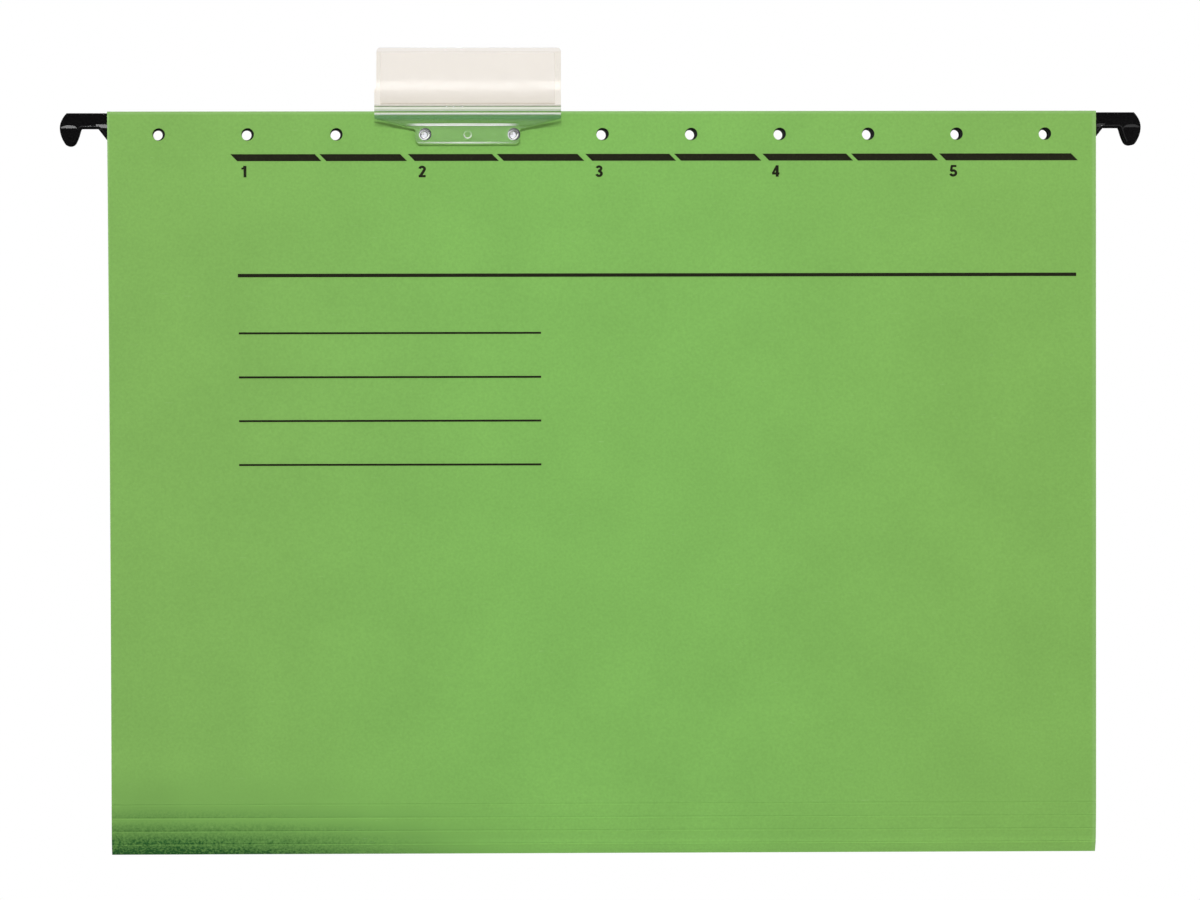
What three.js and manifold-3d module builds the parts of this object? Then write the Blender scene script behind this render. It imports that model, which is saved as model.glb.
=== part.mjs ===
// Hanging file folder: a creased card sleeve held on two hooked rails, with a clear index tab.
// Millimetres. X runs along the rails, Y from the front cover (-Y) to the back cover (+Y), Z up.
// The origin is midway between the four hook seats, where the folder hangs on its frame bars.
import * as THREE from "three";
import { mergeVertices } from "three/addons/utils/BufferGeometryUtils.js";
import Module from "manifold-3d";

// Card sleeve
const cardWidth = 348;
const cardThickness = 0.35;
const cardTop = 6.05; // top fold above the hook seats
const coverLength = 244.2; // top fold to the first crease of the base
const outerDepth = 9.4; // front face to back face, hanging empty
const foldRadius = 0.65; // outside corner of the fold over a rail
const flapLength = 23; // fold to the flap's glued end
const flapGlueLength = 6;
const flapJoggle = 3.9; // height over which the flap closes onto the cover

// Base creases: strips between creases, each side of the bottom fold
const stripPitch = 4.7;
const upperStripTilts = [3, 6, 10]; // degrees inward from the vertical, top strip first
const creaseGap = 0.45; // free width at each crease
const bottomFoldSetback = 0.7; // end of the lowest strip short of the bottom fold line

// Punched holes
const holeCount = 11;
const holeEdgeMargin = 17.85; // card's side edge to the centre of the outermost hole, mean of both ends
const holeDiameter = 4.4; // in the card
const railHoleDiameter = 3.5;
const holeDepthFromTop = 8.1;
const holeSides = 20;

// The card isn't quite centred on its rails
const cardShift = 0.6; // card's middle to the right of the rails' middle
const cardHoleShift = 0.4; // middle of its row of holes, likewise
const railHoleDrop = 0.25; // rail's holes below the card's

// Rails
const railThickness = 0.6;
const railHeight = 12.3;
const railSideClearance = 0.25; // hook end to card, each face
const railEndInset = 2; // rail end inside the card's edge, mean of both ends

// Hook ends
const hookThickness = 1.3;
const hookOverhang = 16.5; // tip beyond the card's side edge, mean of both ends
const armHeight = 5.5;
const noseWidth = 7.3;
const noseDrop = 6.25;
const noseTopSetback = 2.4; // top corner back from the tip
const noseTipSetback = 1.9; // bottom corner back from the tip
const noseTipWidth = 3.5;
const noseTipRound = 0.9;
const noseTaper = 0.45; // inner edge leans out from the notch by this much
const notchWidth = 6.2;
const notchFillet = 0.35;
const shoulderAngle = 52; // degrees below the horizontal
const tangLength = 13.5; // inside the card's edge
const socketClearance = 0.05; // rail in the hook end's slot, each face
const socketEndClearance = 0.3;

// Index tab
const tabHoles = [3, 4]; // hole numbers, counted from the left edge
const tabWidth = 65.6;
const tabTop = 22.2; // above the card's top fold
const tabCornerRadius = 1.5;
const tabWindowBottom = 1.7; // above the card's top fold
const tabLedgeHeight = 2.4;
const tabLedgeDepth = 0.6;
const tabShellThickness = 1.1; // tongue and slope
const tabGap = 0.3; // tongue to card
const tabStandOff = 2.6; // window's back face in front of the card
const tabBendDepth = 4.85; // lower bend below the card's top fold
const tabSideBottom = 2.75; // side edges end below the card's top fold
const tongueTopDepth = 6.3; // slanted edges meet the tongue below the top fold
const tongueBottomDepth = 11.5; // below the card's top fold
const tongueMargin = 2.75; // tongue beyond each pin's centre
const tongueRadius = 2;
const pinClearance = 0.25; // round each pin in the rail's hole
const pinTipInset = 0.1; // pin end short of the flap's inner face
const pinChamfer = 0.4;

// Label and its pocket
const labelThickness = 0.25;
const labelClearance = 0.28; // each face
const pocketWall = 0.75;
const pocketTopWall = 1.4;
const pocketFloor = 0.6;
const labelEndInset = 2.1; // from the tab's side edge
const labelHeightClearance = 0.3;

// Worked-out places
const radians = THREE.MathUtils.degToRad;
const sine = (degrees) => Math.sin(radians(degrees));
const halfDepth = outerDepth / 2;
const channelWidth = hookThickness + 2 * railSideClearance;
const railCentreY = halfDepth - cardThickness - channelWidth / 2;
const railTop = armHeight;
const railBottom = railTop - railHeight;
const firstCreaseZ = cardTop - coverLength;
const coverMidY = halfDepth - cardThickness / 2;
const upperStripReach = upperStripTilts.reduce((sum, tilt) => sum + stripPitch * sine(tilt), 0);
const lastStripTilt = Math.asin((coverMidY - upperStripReach) / stripPitch); // ends on the mid-plane
const stripTilts = [...upperStripTilts.map(radians), lastStripTilt];
const holeZ = cardTop - holeDepthFromTop;
const cardEnd = cardWidth / 2;
const holePitch = (cardWidth - 2 * holeEdgeMargin) / (holeCount - 1);
const holeX = (index) => (index - (holeCount - 1) / 2) * holePitch;
const railEnd = cardEnd - railEndInset;
const tipX = cardEnd + hookOverhang;

// Finishes
const finish = (colour, roughness, metalness, extra = {}) =>
  new THREE.MeshStandardMaterial({ color: colour, roughness, metalness, ...extra });
const greenCard = () => finish("#82b25c", 0.85, 0);
const blackSteel = () => finish("#151416", 0.35, 0.3);
const blackPlastic = () => finish("#121113", 0.25, 0);
const clearPlastic = () => finish("#f1f3ee", 0.08, 0, { transparent: true, opacity: 0.35 });
const labelPaper = () => finish("#f3eee8", 0.8, 0);

// A closed mesh as a solid, and a solid as a geometry
const wasm = await Module();
wasm.setup();

function solidOf(geometry) {
  const bare = geometry.clone();
  bare.deleteAttribute("normal");
  bare.deleteAttribute("uv");
  const merged = mergeVertices(bare, 1e-4);
  return new wasm.Manifold(new wasm.Mesh({
    numProp: 3,
    vertProperties: new Float32Array(merged.attributes.position.array),
    triVerts: new Uint32Array(merged.index.array),
  }));
}

function geometryOf(solid) {
  const mesh = solid.getMesh();
  const geometry = new THREE.BufferGeometry();
  geometry.setAttribute("position", new THREE.BufferAttribute(mesh.vertProperties, 3));
  geometry.setIndex(new THREE.BufferAttribute(mesh.triVerts, 1));
  geometry.computeVertexNormals();
  return geometry;
}

// Outlines become solids along X (drawn in Y and Z) or along Y (drawn in X and Z)
const alongX = new THREE.Matrix4().makeBasis(
  new THREE.Vector3(0, 1, 0), new THREE.Vector3(0, 0, 1), new THREE.Vector3(1, 0, 0));
const alongY = new THREE.Matrix4().makeBasis(
  new THREE.Vector3(1, 0, 0), new THREE.Vector3(0, 0, 1), new THREE.Vector3(0, -1, 0));

function extruded(shape, length, basis, curveSegments = 3) {
  const options = { depth: length, bevelEnabled: false, curveSegments };
  const geometry = new THREE.ExtrudeGeometry(shape, options);
  geometry.translate(0, 0, -length / 2);
  return geometry.applyMatrix4(basis);
}

function drill(diameter, length, x, y, z) {
  const tool = new THREE.CylinderGeometry(diameter / 2, diameter / 2, length, holeSides);
  tool.translate(x, y, z);
  return solidOf(tool);
}

function punched(solid, diameter, shift, y, z) {
  const length = 2 * channelWidth + 4 * cardThickness; // clear of both layers of the fold
  let result = solid;
  for (let index = 0; index < holeCount; index += 1) {
    result = result.subtract(drill(diameter, length, shift + holeX(index), y, z));
  }
  return result;
}

// Cover: one sheet folded over the rail, its flap glued back on itself below the rail
// Drawn for the back cover; the front cover is its mirror image
function coverShape() {
  const sheetInner = halfDepth - cardThickness;
  const flapOuter = sheetInner - channelWidth;
  const flapInner = flapOuter - cardThickness;
  const channelTop = cardTop - cardThickness;
  const innerRadius = foldRadius - cardThickness;
  const glueTop = cardTop - flapLength + flapGlueLength;
  const joggleTop = glueTop + flapJoggle;
  const flapEnd = cardTop - flapLength;
  const bottom = firstCreaseZ + creaseGap / 2;
  const shape = new THREE.Shape();
  shape.moveTo(halfDepth, bottom);
  shape.lineTo(halfDepth, cardTop - foldRadius);
  shape.quadraticCurveTo(halfDepth, cardTop, halfDepth - foldRadius, cardTop);
  shape.lineTo(flapInner + foldRadius, cardTop);
  shape.quadraticCurveTo(flapInner, cardTop, flapInner, cardTop - foldRadius);
  shape.lineTo(flapInner, joggleTop);
  shape.lineTo(sheetInner - cardThickness, glueTop);
  shape.lineTo(sheetInner - cardThickness, flapEnd);
  shape.lineTo(sheetInner, flapEnd);
  shape.lineTo(sheetInner, bottom);
  const channel = new THREE.Path();
  channel.moveTo(sheetInner, glueTop);
  channel.lineTo(sheetInner, channelTop - innerRadius);
  channel.quadraticCurveTo(sheetInner, channelTop, sheetInner - innerRadius, channelTop);
  channel.lineTo(flapOuter + innerRadius, channelTop);
  channel.quadraticCurveTo(flapOuter, channelTop, flapOuter, channelTop - innerRadius);
  channel.lineTo(flapOuter, joggleTop);
  shape.holes.push(channel);
  return shape;
}

function cover(side) {
  const folded = solidOf(extruded(coverShape(), cardWidth, alongX).translate(cardShift, 0, 0));
  const sheet = punched(folded, holeDiameter, cardHoleShift, railCentreY, holeZ);
  return geometryOf(side > 0 ? sheet : sheet.mirror([0, 1, 0]));
}

// Base strips hang in a chain from the cover's crease; each turns further under the folder
function creasePoint(index) {
  let y = coverMidY;
  let z = firstCreaseZ;
  for (let above = 0; above < index; above += 1) {
    y -= stripPitch * Math.sin(stripTilts[above]);
    z -= stripPitch * Math.cos(stripTilts[above]);
  }
  return { y, z };
}

function strip(index) {
  const last = index === stripTilts.length - 1;
  const upperEnd = creaseGap / 2;
  const lowerEnd = last ? bottomFoldSetback : creaseGap / 2;
  const length = stripPitch - upperEnd - lowerEnd;
  const geometry = new THREE.BoxGeometry(cardWidth, cardThickness, length);
  return geometry.translate(cardShift, 0, -upperEnd - length / 2);
}

// Rail: a punched steel strip inside the fold
function rail() {
  const half = railHeight / 2;
  const strip = new THREE.BoxGeometry(2 * railEnd, railThickness, railHeight);
  strip.translate(0, 0, railTop - half);
  return geometryOf(punched(solidOf(strip), railHoleDiameter, 0, 0, holeZ - railHoleDrop));
}

// Hook end: a moulded arm and nose, with a slotted tang that grips the rail
// Drawn for the right end; the left end is its mirror image. Curve handles are shares of each corner
function hookShape() {
  const noseInner = tipX - noseWidth;
  const notchInner = noseInner - notchWidth;
  const shoulderRun = -railBottom / Math.tan(radians(shoulderAngle));
  const tangEnd = cardEnd - tangLength;
  const tipCorner = -noseDrop + noseTipRound;
  const shape = new THREE.Shape();
  shape.moveTo(tangEnd, railTop);
  shape.lineTo(tipX - noseTopSetback, railTop);
  shape.bezierCurveTo(
    tipX - 0.42 * noseTopSetback, 0.73 * railTop, tipX, 0.4 * railTop, tipX, 0.05 * railTop);
  shape.bezierCurveTo(
    tipX, 0.35 * tipCorner, tipX - 0.47 * noseTipSetback, 0.73 * tipCorner,
    tipX - noseTipSetback, tipCorner);
  shape.bezierCurveTo(
    tipX - 1.35 * noseTipSetback, -noseDrop - 0.3 * noseTipRound,
    tipX - noseTipSetback - 0.8 * noseTipWidth, -noseDrop - 0.3 * noseTipRound,
    tipX - noseTipSetback - noseTipWidth, tipCorner);
  shape.quadraticCurveTo(noseInner + noseTaper, 0.4 * tipCorner, noseInner, -notchFillet);
  shape.quadraticCurveTo(noseInner, 0, noseInner - notchFillet, 0);
  shape.lineTo(notchInner, 0);
  shape.lineTo(notchInner - shoulderRun, railBottom);
  shape.lineTo(tangEnd, railBottom);
  return shape;
}

function hookEnd(side) {
  const body = solidOf(extruded(hookShape(), hookThickness, alongY, 6));
  const slotStart = cardEnd - tangLength - 1;
  const slotEnd = railEnd + socketEndClearance;
  const slotWidth = railThickness + 2 * socketClearance;
  const slot = new THREE.BoxGeometry(slotEnd - slotStart, slotWidth, 4 * railHeight);
  slot.translate((slotStart + slotEnd) / 2, 0, 0);
  const rightEnd = body.subtract(solidOf(slot));
  return geometryOf(side > 0 ? rightEnd : rightEnd.mirror([1, 0, 0]));
}

// Index tab: tongue, slope, ledge and label pocket in one moulding
// Its depths are measured out from the card's face
const faceY = -halfDepth;
const pocketDepth = labelThickness + 2 * labelClearance;
const windowDepth = 2 * pocketWall + pocketDepth;
const tabCentreX = (holeX(tabHoles[0]) + holeX(tabHoles[1])) / 2;
const windowTopZ = cardTop + tabTop;
const windowBottomZ = cardTop + tabWindowBottom;
const pocketCentreY = faceY - tabStandOff - windowDepth / 2;
const pocketBottomZ = windowBottomZ + pocketFloor;
const pocketTopZ = windowTopZ - pocketTopWall;

function tabSide() {
  const y = (depth) => faceY - depth;
  const bendZ = cardTop - tabBendDepth;
  const ledgeZ = windowBottomZ - tabLedgeHeight;
  const tongueZ = cardTop - tongueBottomDepth;
  const tongueFront = tabGap + tabShellThickness;
  const windowFront = tabStandOff + windowDepth;
  const ledgeFront = windowFront + tabLedgeDepth;
  const shape = new THREE.Shape();
  shape.moveTo(y(tabGap), tongueZ);
  shape.lineTo(y(tongueFront), tongueZ);
  shape.lineTo(y(tongueFront), bendZ - tabShellThickness / 2);
  shape.lineTo(y(ledgeFront), ledgeZ);
  shape.lineTo(y(ledgeFront), windowBottomZ - tabLedgeDepth);
  shape.lineTo(y(windowFront), windowBottomZ);
  shape.lineTo(y(windowFront), windowTopZ);
  shape.lineTo(y(tabStandOff), windowTopZ);
  shape.lineTo(y(tabStandOff), ledgeZ + tabShellThickness);
  shape.lineTo(y(tabGap), bendZ + tabShellThickness / 2);
  const pocket = new THREE.Path();
  pocket.moveTo(y(windowFront - pocketWall), pocketBottomZ);
  pocket.lineTo(y(tabStandOff + pocketWall), pocketBottomZ);
  pocket.lineTo(y(tabStandOff + pocketWall), pocketTopZ);
  pocket.lineTo(y(windowFront - pocketWall), pocketTopZ);
  shape.holes.push(pocket);
  return shape;
}

function tabFront() {
  const half = tabWidth / 2;
  const tongueHalf = (holeX(tabHoles[1]) - holeX(tabHoles[0])) / 2 + tongueMargin;
  const tongueZ = cardTop - tongueBottomDepth;
  const tongueTopZ = cardTop - tongueTopDepth;
  const sideZ = cardTop - tabSideBottom;
  const shape = new THREE.Shape();
  shape.moveTo(-half, sideZ);
  shape.lineTo(-half, windowTopZ - tabCornerRadius);
  shape.quadraticCurveTo(-half, windowTopZ, -half + tabCornerRadius, windowTopZ);
  shape.lineTo(half - tabCornerRadius, windowTopZ);
  shape.quadraticCurveTo(half, windowTopZ, half, windowTopZ - tabCornerRadius);
  shape.lineTo(half, sideZ);
  shape.lineTo(tongueHalf, tongueTopZ);
  shape.lineTo(tongueHalf, tongueZ + tongueRadius);
  shape.quadraticCurveTo(tongueHalf, tongueZ, tongueHalf - tongueRadius, tongueZ);
  shape.lineTo(-tongueHalf + tongueRadius, tongueZ);
  shape.quadraticCurveTo(-tongueHalf, tongueZ, -tongueHalf, tongueZ + tongueRadius);
  shape.lineTo(-tongueHalf, tongueTopZ);
  return shape;
}

function pin(x) {
  const radius = railHoleDiameter / 2 - pinClearance;
  const root = tabGap + tabShellThickness / 2; // half way into the tongue
  const reach = 2 * cardThickness + channelWidth - pinTipInset; // into the card, from its face
  const profile = [
    new THREE.Vector2(0, 0),
    new THREE.Vector2(radius, 0),
    new THREE.Vector2(radius, root + reach - pinChamfer),
    new THREE.Vector2(radius - pinChamfer, root + reach),
    new THREE.Vector2(0, root + reach),
  ];
  const geometry = new THREE.LatheGeometry(profile, holeSides);
  geometry.translate(x, faceY - root, holeZ - railHoleDrop);
  return solidOf(geometry);
}

function tab() {
  const moulding = solidOf(extruded(tabSide(), tabWidth, alongX));
  const reach = 2 * (tabStandOff + windowDepth + tabLedgeDepth);
  const outline = solidOf(extruded(tabFront(), reach, alongY, 4).translate(0, faceY, 0));
  const shell = moulding.intersect(outline).translate([tabCentreX, 0, 0]);
  return geometryOf(tabHoles.reduce((solid, hole) => solid.add(pin(holeX(hole))), shell));
}

function label() {
  const height = pocketTopZ - pocketBottomZ - 2 * labelHeightClearance;
  return new THREE.BoxGeometry(tabWidth - 2 * labelEndInset, labelThickness, height);
}

// Assembly
const folder = new THREE.Group();

function place(parent, name, geometry, material, position = [0, 0, 0], tilt = 0) {
  const mesh = new THREE.Mesh(geometry, material);
  mesh.name = name;
  mesh.position.set(...position);
  mesh.rotation.x = tilt;
  parent.add(mesh);
  return mesh;
}

for (const [half, side] of [["back", 1], ["front", -1]]) {
  const group = new THREE.Group();
  folder.add(group);
  place(group, `${half}_cover`, cover(side), greenCard());
  stripTilts.forEach((tilt, index) => {
    const crease = creasePoint(index);
    place(group, `${half}_base_strip_${index + 1}`, strip(index), greenCard(),
      [0, side * crease.y, crease.z], -side * tilt);
  });
  place(group, `${half}_rail`, rail(), blackSteel(), [0, side * railCentreY, 0]);
  for (const [end, direction] of [["left", -1], ["right", 1]]) {
    place(group, `${half}_hook_${end}`, hookEnd(direction), blackPlastic(), [0, side * railCentreY, 0]);
  }
}

const indexing = new THREE.Group();
folder.add(indexing);
place(indexing, "index_tab", tab(), clearPlastic());
place(indexing, "label_insert", label(), labelPaper(),
  [tabCentreX, pocketCentreY, (pocketTopZ + pocketBottomZ) / 2]);

export default folder;
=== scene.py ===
# Hanging file folder: green card on two hooked rails, with a clear plug-in index tab
# Metres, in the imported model's frame: X along the rails, front cover at -Y, Z up
import math
import bpy
import bmesh
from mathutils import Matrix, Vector
from mathutils.geometry import interpolate_bezier


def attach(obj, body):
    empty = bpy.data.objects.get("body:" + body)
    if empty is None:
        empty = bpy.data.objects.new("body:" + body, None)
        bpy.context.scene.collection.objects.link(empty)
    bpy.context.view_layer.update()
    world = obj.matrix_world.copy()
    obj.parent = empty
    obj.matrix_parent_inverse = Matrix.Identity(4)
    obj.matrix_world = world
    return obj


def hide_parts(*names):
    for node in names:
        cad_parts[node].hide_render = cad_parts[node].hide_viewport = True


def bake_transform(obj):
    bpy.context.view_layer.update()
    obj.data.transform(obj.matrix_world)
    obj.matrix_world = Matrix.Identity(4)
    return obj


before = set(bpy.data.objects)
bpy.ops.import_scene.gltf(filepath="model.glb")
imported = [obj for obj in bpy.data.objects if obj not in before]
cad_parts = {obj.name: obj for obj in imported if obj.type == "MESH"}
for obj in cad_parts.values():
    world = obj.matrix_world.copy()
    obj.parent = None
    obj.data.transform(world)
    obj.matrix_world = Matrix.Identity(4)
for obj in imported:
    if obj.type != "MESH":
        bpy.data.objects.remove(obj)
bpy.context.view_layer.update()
mm = 0.001
print("frame loaded:", len(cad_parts), "nodes")


# Camera, 2.6 m in front of the folder, a little left of its middle and level with its upper half
photo = {
    "place": (-77.3 * mm, -2604.7 * mm, -59.5 * mm),
    "turn": (88.814, 0.097, -1.6895),  # degrees; 90, 0, 0 would look square on to the front cover
    "lens": 221.4,  # on a 36 mm sensor
}


def placeCamera(settings):
    data = bpy.data.cameras.new("camera")
    data.sensor_width = 36
    data.lens = settings["lens"]
    data.clip_end = 50
    camera = bpy.data.objects.new("camera", data)
    bpy.context.scene.collection.objects.link(camera)
    camera.location = settings["place"]
    camera.rotation_euler = [math.radians(angle) for angle in settings["turn"]]
    bpy.context.scene.camera = camera


placeCamera(photo)


# Small tools for the mesh work
def deselectAll():
    bpy.ops.object.select_all(action="DESELECT")


def workOn(piece):
    deselectAll()
    piece.select_set(True)
    bpy.context.view_layer.objects.active = piece


def startEdit(piece, mode="VERT"):
    workOn(piece)
    bpy.ops.object.mode_set(mode="EDIT")
    bpy.ops.mesh.select_mode(type=mode)
    bpy.ops.mesh.select_all(action="SELECT")


def endEdit():
    bpy.ops.mesh.select_all(action="SELECT")
    bpy.ops.mesh.normals_make_consistent(inside=False)
    bpy.ops.object.mode_set(mode="OBJECT")


# Selects the edges whose middle passes the test
def pickEdges(piece, test):
    bpy.ops.mesh.select_all(action="DESELECT")
    mesh = bmesh.from_edit_mesh(piece.data)
    for edge in mesh.edges:
        middle = (edge.verts[0].co + edge.verts[1].co) / 2
        if test(middle, edge):
            edge.select_set(True)
    bmesh.update_edit_mesh(piece.data)


# Applies one modifier with its settings
def finishWith(piece, kind, **settings):
    workOn(piece)
    modifier = piece.modifiers.new(kind.title(), kind)
    for key, value in settings.items():
        setattr(modifier, key, value)
    bpy.ops.object.modifier_apply(modifier=modifier.name)


def combine(piece, other, operation, solver="EXACT"):
    finishWith(piece, "BOOLEAN", object=other, operation=operation, solver=solver)
    bpy.data.objects.remove(other)


def softened(piece, width, angle=50):
    finishWith(piece, "BEVEL", width=width, segments=3, limit_method="ANGLE",
               angle_limit=math.radians(angle))
    return piece


def boxAt(centre, size):
    deselectAll()
    bpy.ops.mesh.primitive_cube_add(size=1, location=centre)
    piece = bpy.context.object
    piece.scale = size
    bpy.ops.object.transform_apply()
    return piece


def joinAll(parts):
    deselectAll()
    for part in parts:
        part.select_set(True)
    bpy.context.view_layer.objects.active = parts[0]
    bpy.ops.object.join()
    return bpy.context.object


def alongX(x, y, z):
    return Vector((x, y, z))


def alongY(y, x, z):
    return Vector((x, y, z))


# A filled ring takes the outline's corners and is extruded from stop to stop
def drawOut(outline, stops, place):
    deselectAll()
    bpy.ops.mesh.primitive_circle_add(vertices=len(outline), radius=1, fill_type="NGON")
    piece = bpy.context.object
    for vertex, corner in zip(piece.data.vertices, outline):
        vertex.co = place(stops[0], *corner)
    direction = place(1, 0, 0)
    startEdit(piece)
    for start, end in zip(stops, stops[1:]):
        step = direction * (end - start)
        bpy.ops.mesh.extrude_region_move(TRANSFORM_OT_translate={"value": step})
    endEdit()
    return piece


# Corners given as (a, b, radius) are rounded where the radius isn't zero
def rounded(corners, steps=6):
    outline = []
    for before, here, after in zip(corners[-1:] + corners[:-1], corners, corners[1:] + corners[:1]):
        point, radius = Vector(here[:2]), here[2]
        if radius == 0:
            outline.append(point)
            continue
        toBefore = (Vector(before[:2]) - point).normalized()
        toAfter = (Vector(after[:2]) - point).normalized()
        half = toBefore.angle(toAfter) / 2
        centre = point + (toBefore + toAfter).normalized() * radius / math.sin(half)
        first = point + toBefore * radius / math.tan(half) - centre
        last = point + toAfter * radius / math.tan(half) - centre
        start = math.atan2(first.y, first.x)
        sweep = (math.atan2(last.y, last.x) - start + math.pi) % math.tau - math.pi
        for step in range(steps + 1):
            angle = start + sweep * step / steps
            outline.append(centre + radius * Vector((math.cos(angle), math.sin(angle))))
    return outline


# A line moved sideways, to the left of its direction
def movedSideways(path, distance):
    path = [Vector(point) for point in path]
    moved = []
    for before, point, after in zip(path[:1] + path, path, path[1:] + path[-1:]):
        along = (after - before).normalized() * distance
        moved.append(point + Vector((-along.y, along.x)))
    return moved


# Material, slot, shading and the body that the piece moves with
# Faces wider than flatWidth are shaded flat, so that their rounded edges don't bend their gloss
def present(piece, name, material, body=None, between=None, replaces=(), flatWidth=None):
    piece.name = piece.data.name = name
    if not any(piece.data.materials):
        piece.data.materials.clear()
        piece.data.materials.append(material)
    workOn(piece)
    bpy.ops.object.shade_smooth_by_angle(angle=math.radians(35))
    for face in piece.data.polygons if flatWidth else ():
        corners = [piece.data.vertices[i].co for i in face.vertices]
        longest = max((a - b).length for a, b in zip(corners, corners[1:] + corners[:1]))
        if face.area / longest > flatWidth:
            face.use_smooth = False
    if replaces:
        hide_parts(*replaces)
    if between:
        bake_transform(piece)
    else:
        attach(piece, body)
    return piece


# An sRGB hex value as a linear colour
def toLinear(code):
    channels = [int(code[i:i + 2], 16) / 255 for i in (1, 3, 5)]
    return [c / 12.92 if c <= 0.04045 else ((c + 0.055) / 1.055) ** 2.4 for c in channels] + [1]


# A maker adds a finish's nodes, from the Object coordinates to the shader
def makeMaterial(name, maker, *settings):
    material = bpy.data.materials.new(name)
    material.use_nodes = True
    tree = material.node_tree
    tree.nodes.clear()
    place = addNode(tree, "TexCoord", output="Object")
    addNode(tree, "OutputMaterial", {"Surface": maker(tree, place, *settings)})
    return material


# Adds a node with its settings, and gives its first output, or the one that is named
# An input is a value or the socket to link
def addNode(tree, kind, inputs=None, output=0, **settings):
    node = tree.nodes.new("ShaderNode" + kind)
    for key, value in settings.items():
        setattr(node, key, value)
    for key, value in (inputs or {}).items():
        if isinstance(value, bpy.types.NodeSocket):
            tree.links.new(value, node.inputs[key])
        else:
            node.inputs[key].default_value = value
    return node.outputs[output] if len(node.outputs) else None


# Dyed recycled pressboard, calendered: matt, cloudy, with fine fibres that show as a mottle
# It pales where it is folded or cut, and painted shade darkens it along the base and towards each
# crease, most at its left end
pressboard = {
    "left": "#80b158",
    "middle": "#7fb659",
    "right": "#80b257",
    "pale": "#a9cb92",
    # The colour of the painted shade along the base
    "paintedShade": "#1d5520",
    "grain": 0.9 * mm,  # a little coarser than the real fibres, so that it shows
    "cloud": 28 * mm,
    "fibre": (4 * mm, 0.35 * mm),
    "roughness": 0.84,
    "shift": 0.6 * mm,
    "crease": -238.15 * mm,
    "creaseSpacing": 4.665 * mm,
    "paintedShadeDepth": 0.8,
    "paintedShadeCurve": 1.25,
    # What a fade follows, where it starts and ends, its value at both, and whether it is smooth
    "fades": {
        "toMiddle": ("x", -160 * mm, -20 * mm, 0, 1, True),
        "toRight": ("x", 20 * mm, 160 * mm, 0, 1, True),
        "clouds": ("cloud", 0.3, 0.7, 0.965, 1.03, False),
        "grains": ("grain", 0.3, 0.7, 0.93, 1.07, False),
        "fibres": ("fibre", 0.68, 0.8, 0, 0.22, True),
        # Fades of the painted shade: stronger to the left, down the base, just above it, down each
        # strip, and broken by the grain
        "paintedShadeLeft": ("x", -165 * mm, -10 * mm, 1, 0, True),
        "paintedShadeBase": ("z", -243 * mm, -256 * mm, 0, 1, False),
        "paintedShadeAbove": ("z", -222 * mm, -238 * mm, 0, 0.13, True),
        "paintedShadeCreases": ("z", -237.95 * mm, -238.35 * mm, 0, 0.28, False),
        "paintedShadeGrains": ("grain", 0.35, 0.65, 0.6, 1.36, False),
        # Painted light: paler near the bottom fold, lifting the shade the strips take where they
        # face down
        "paintedLightAtFold": ("z", -250 * mm, -253.5 * mm, 1, 1.2, False),  # paler along the bottom fold
        "topFold": ("z", 4.6 * mm, 5.8 * mm, 0, 0.3, True),
        "rightCut": ("across", 172.2 * mm, 173.2 * mm, 0, 0.2, True),
        "sideCuts": ("aside", 173.6 * mm, 174 * mm, 0, 0.3, True),
    },
}


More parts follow.
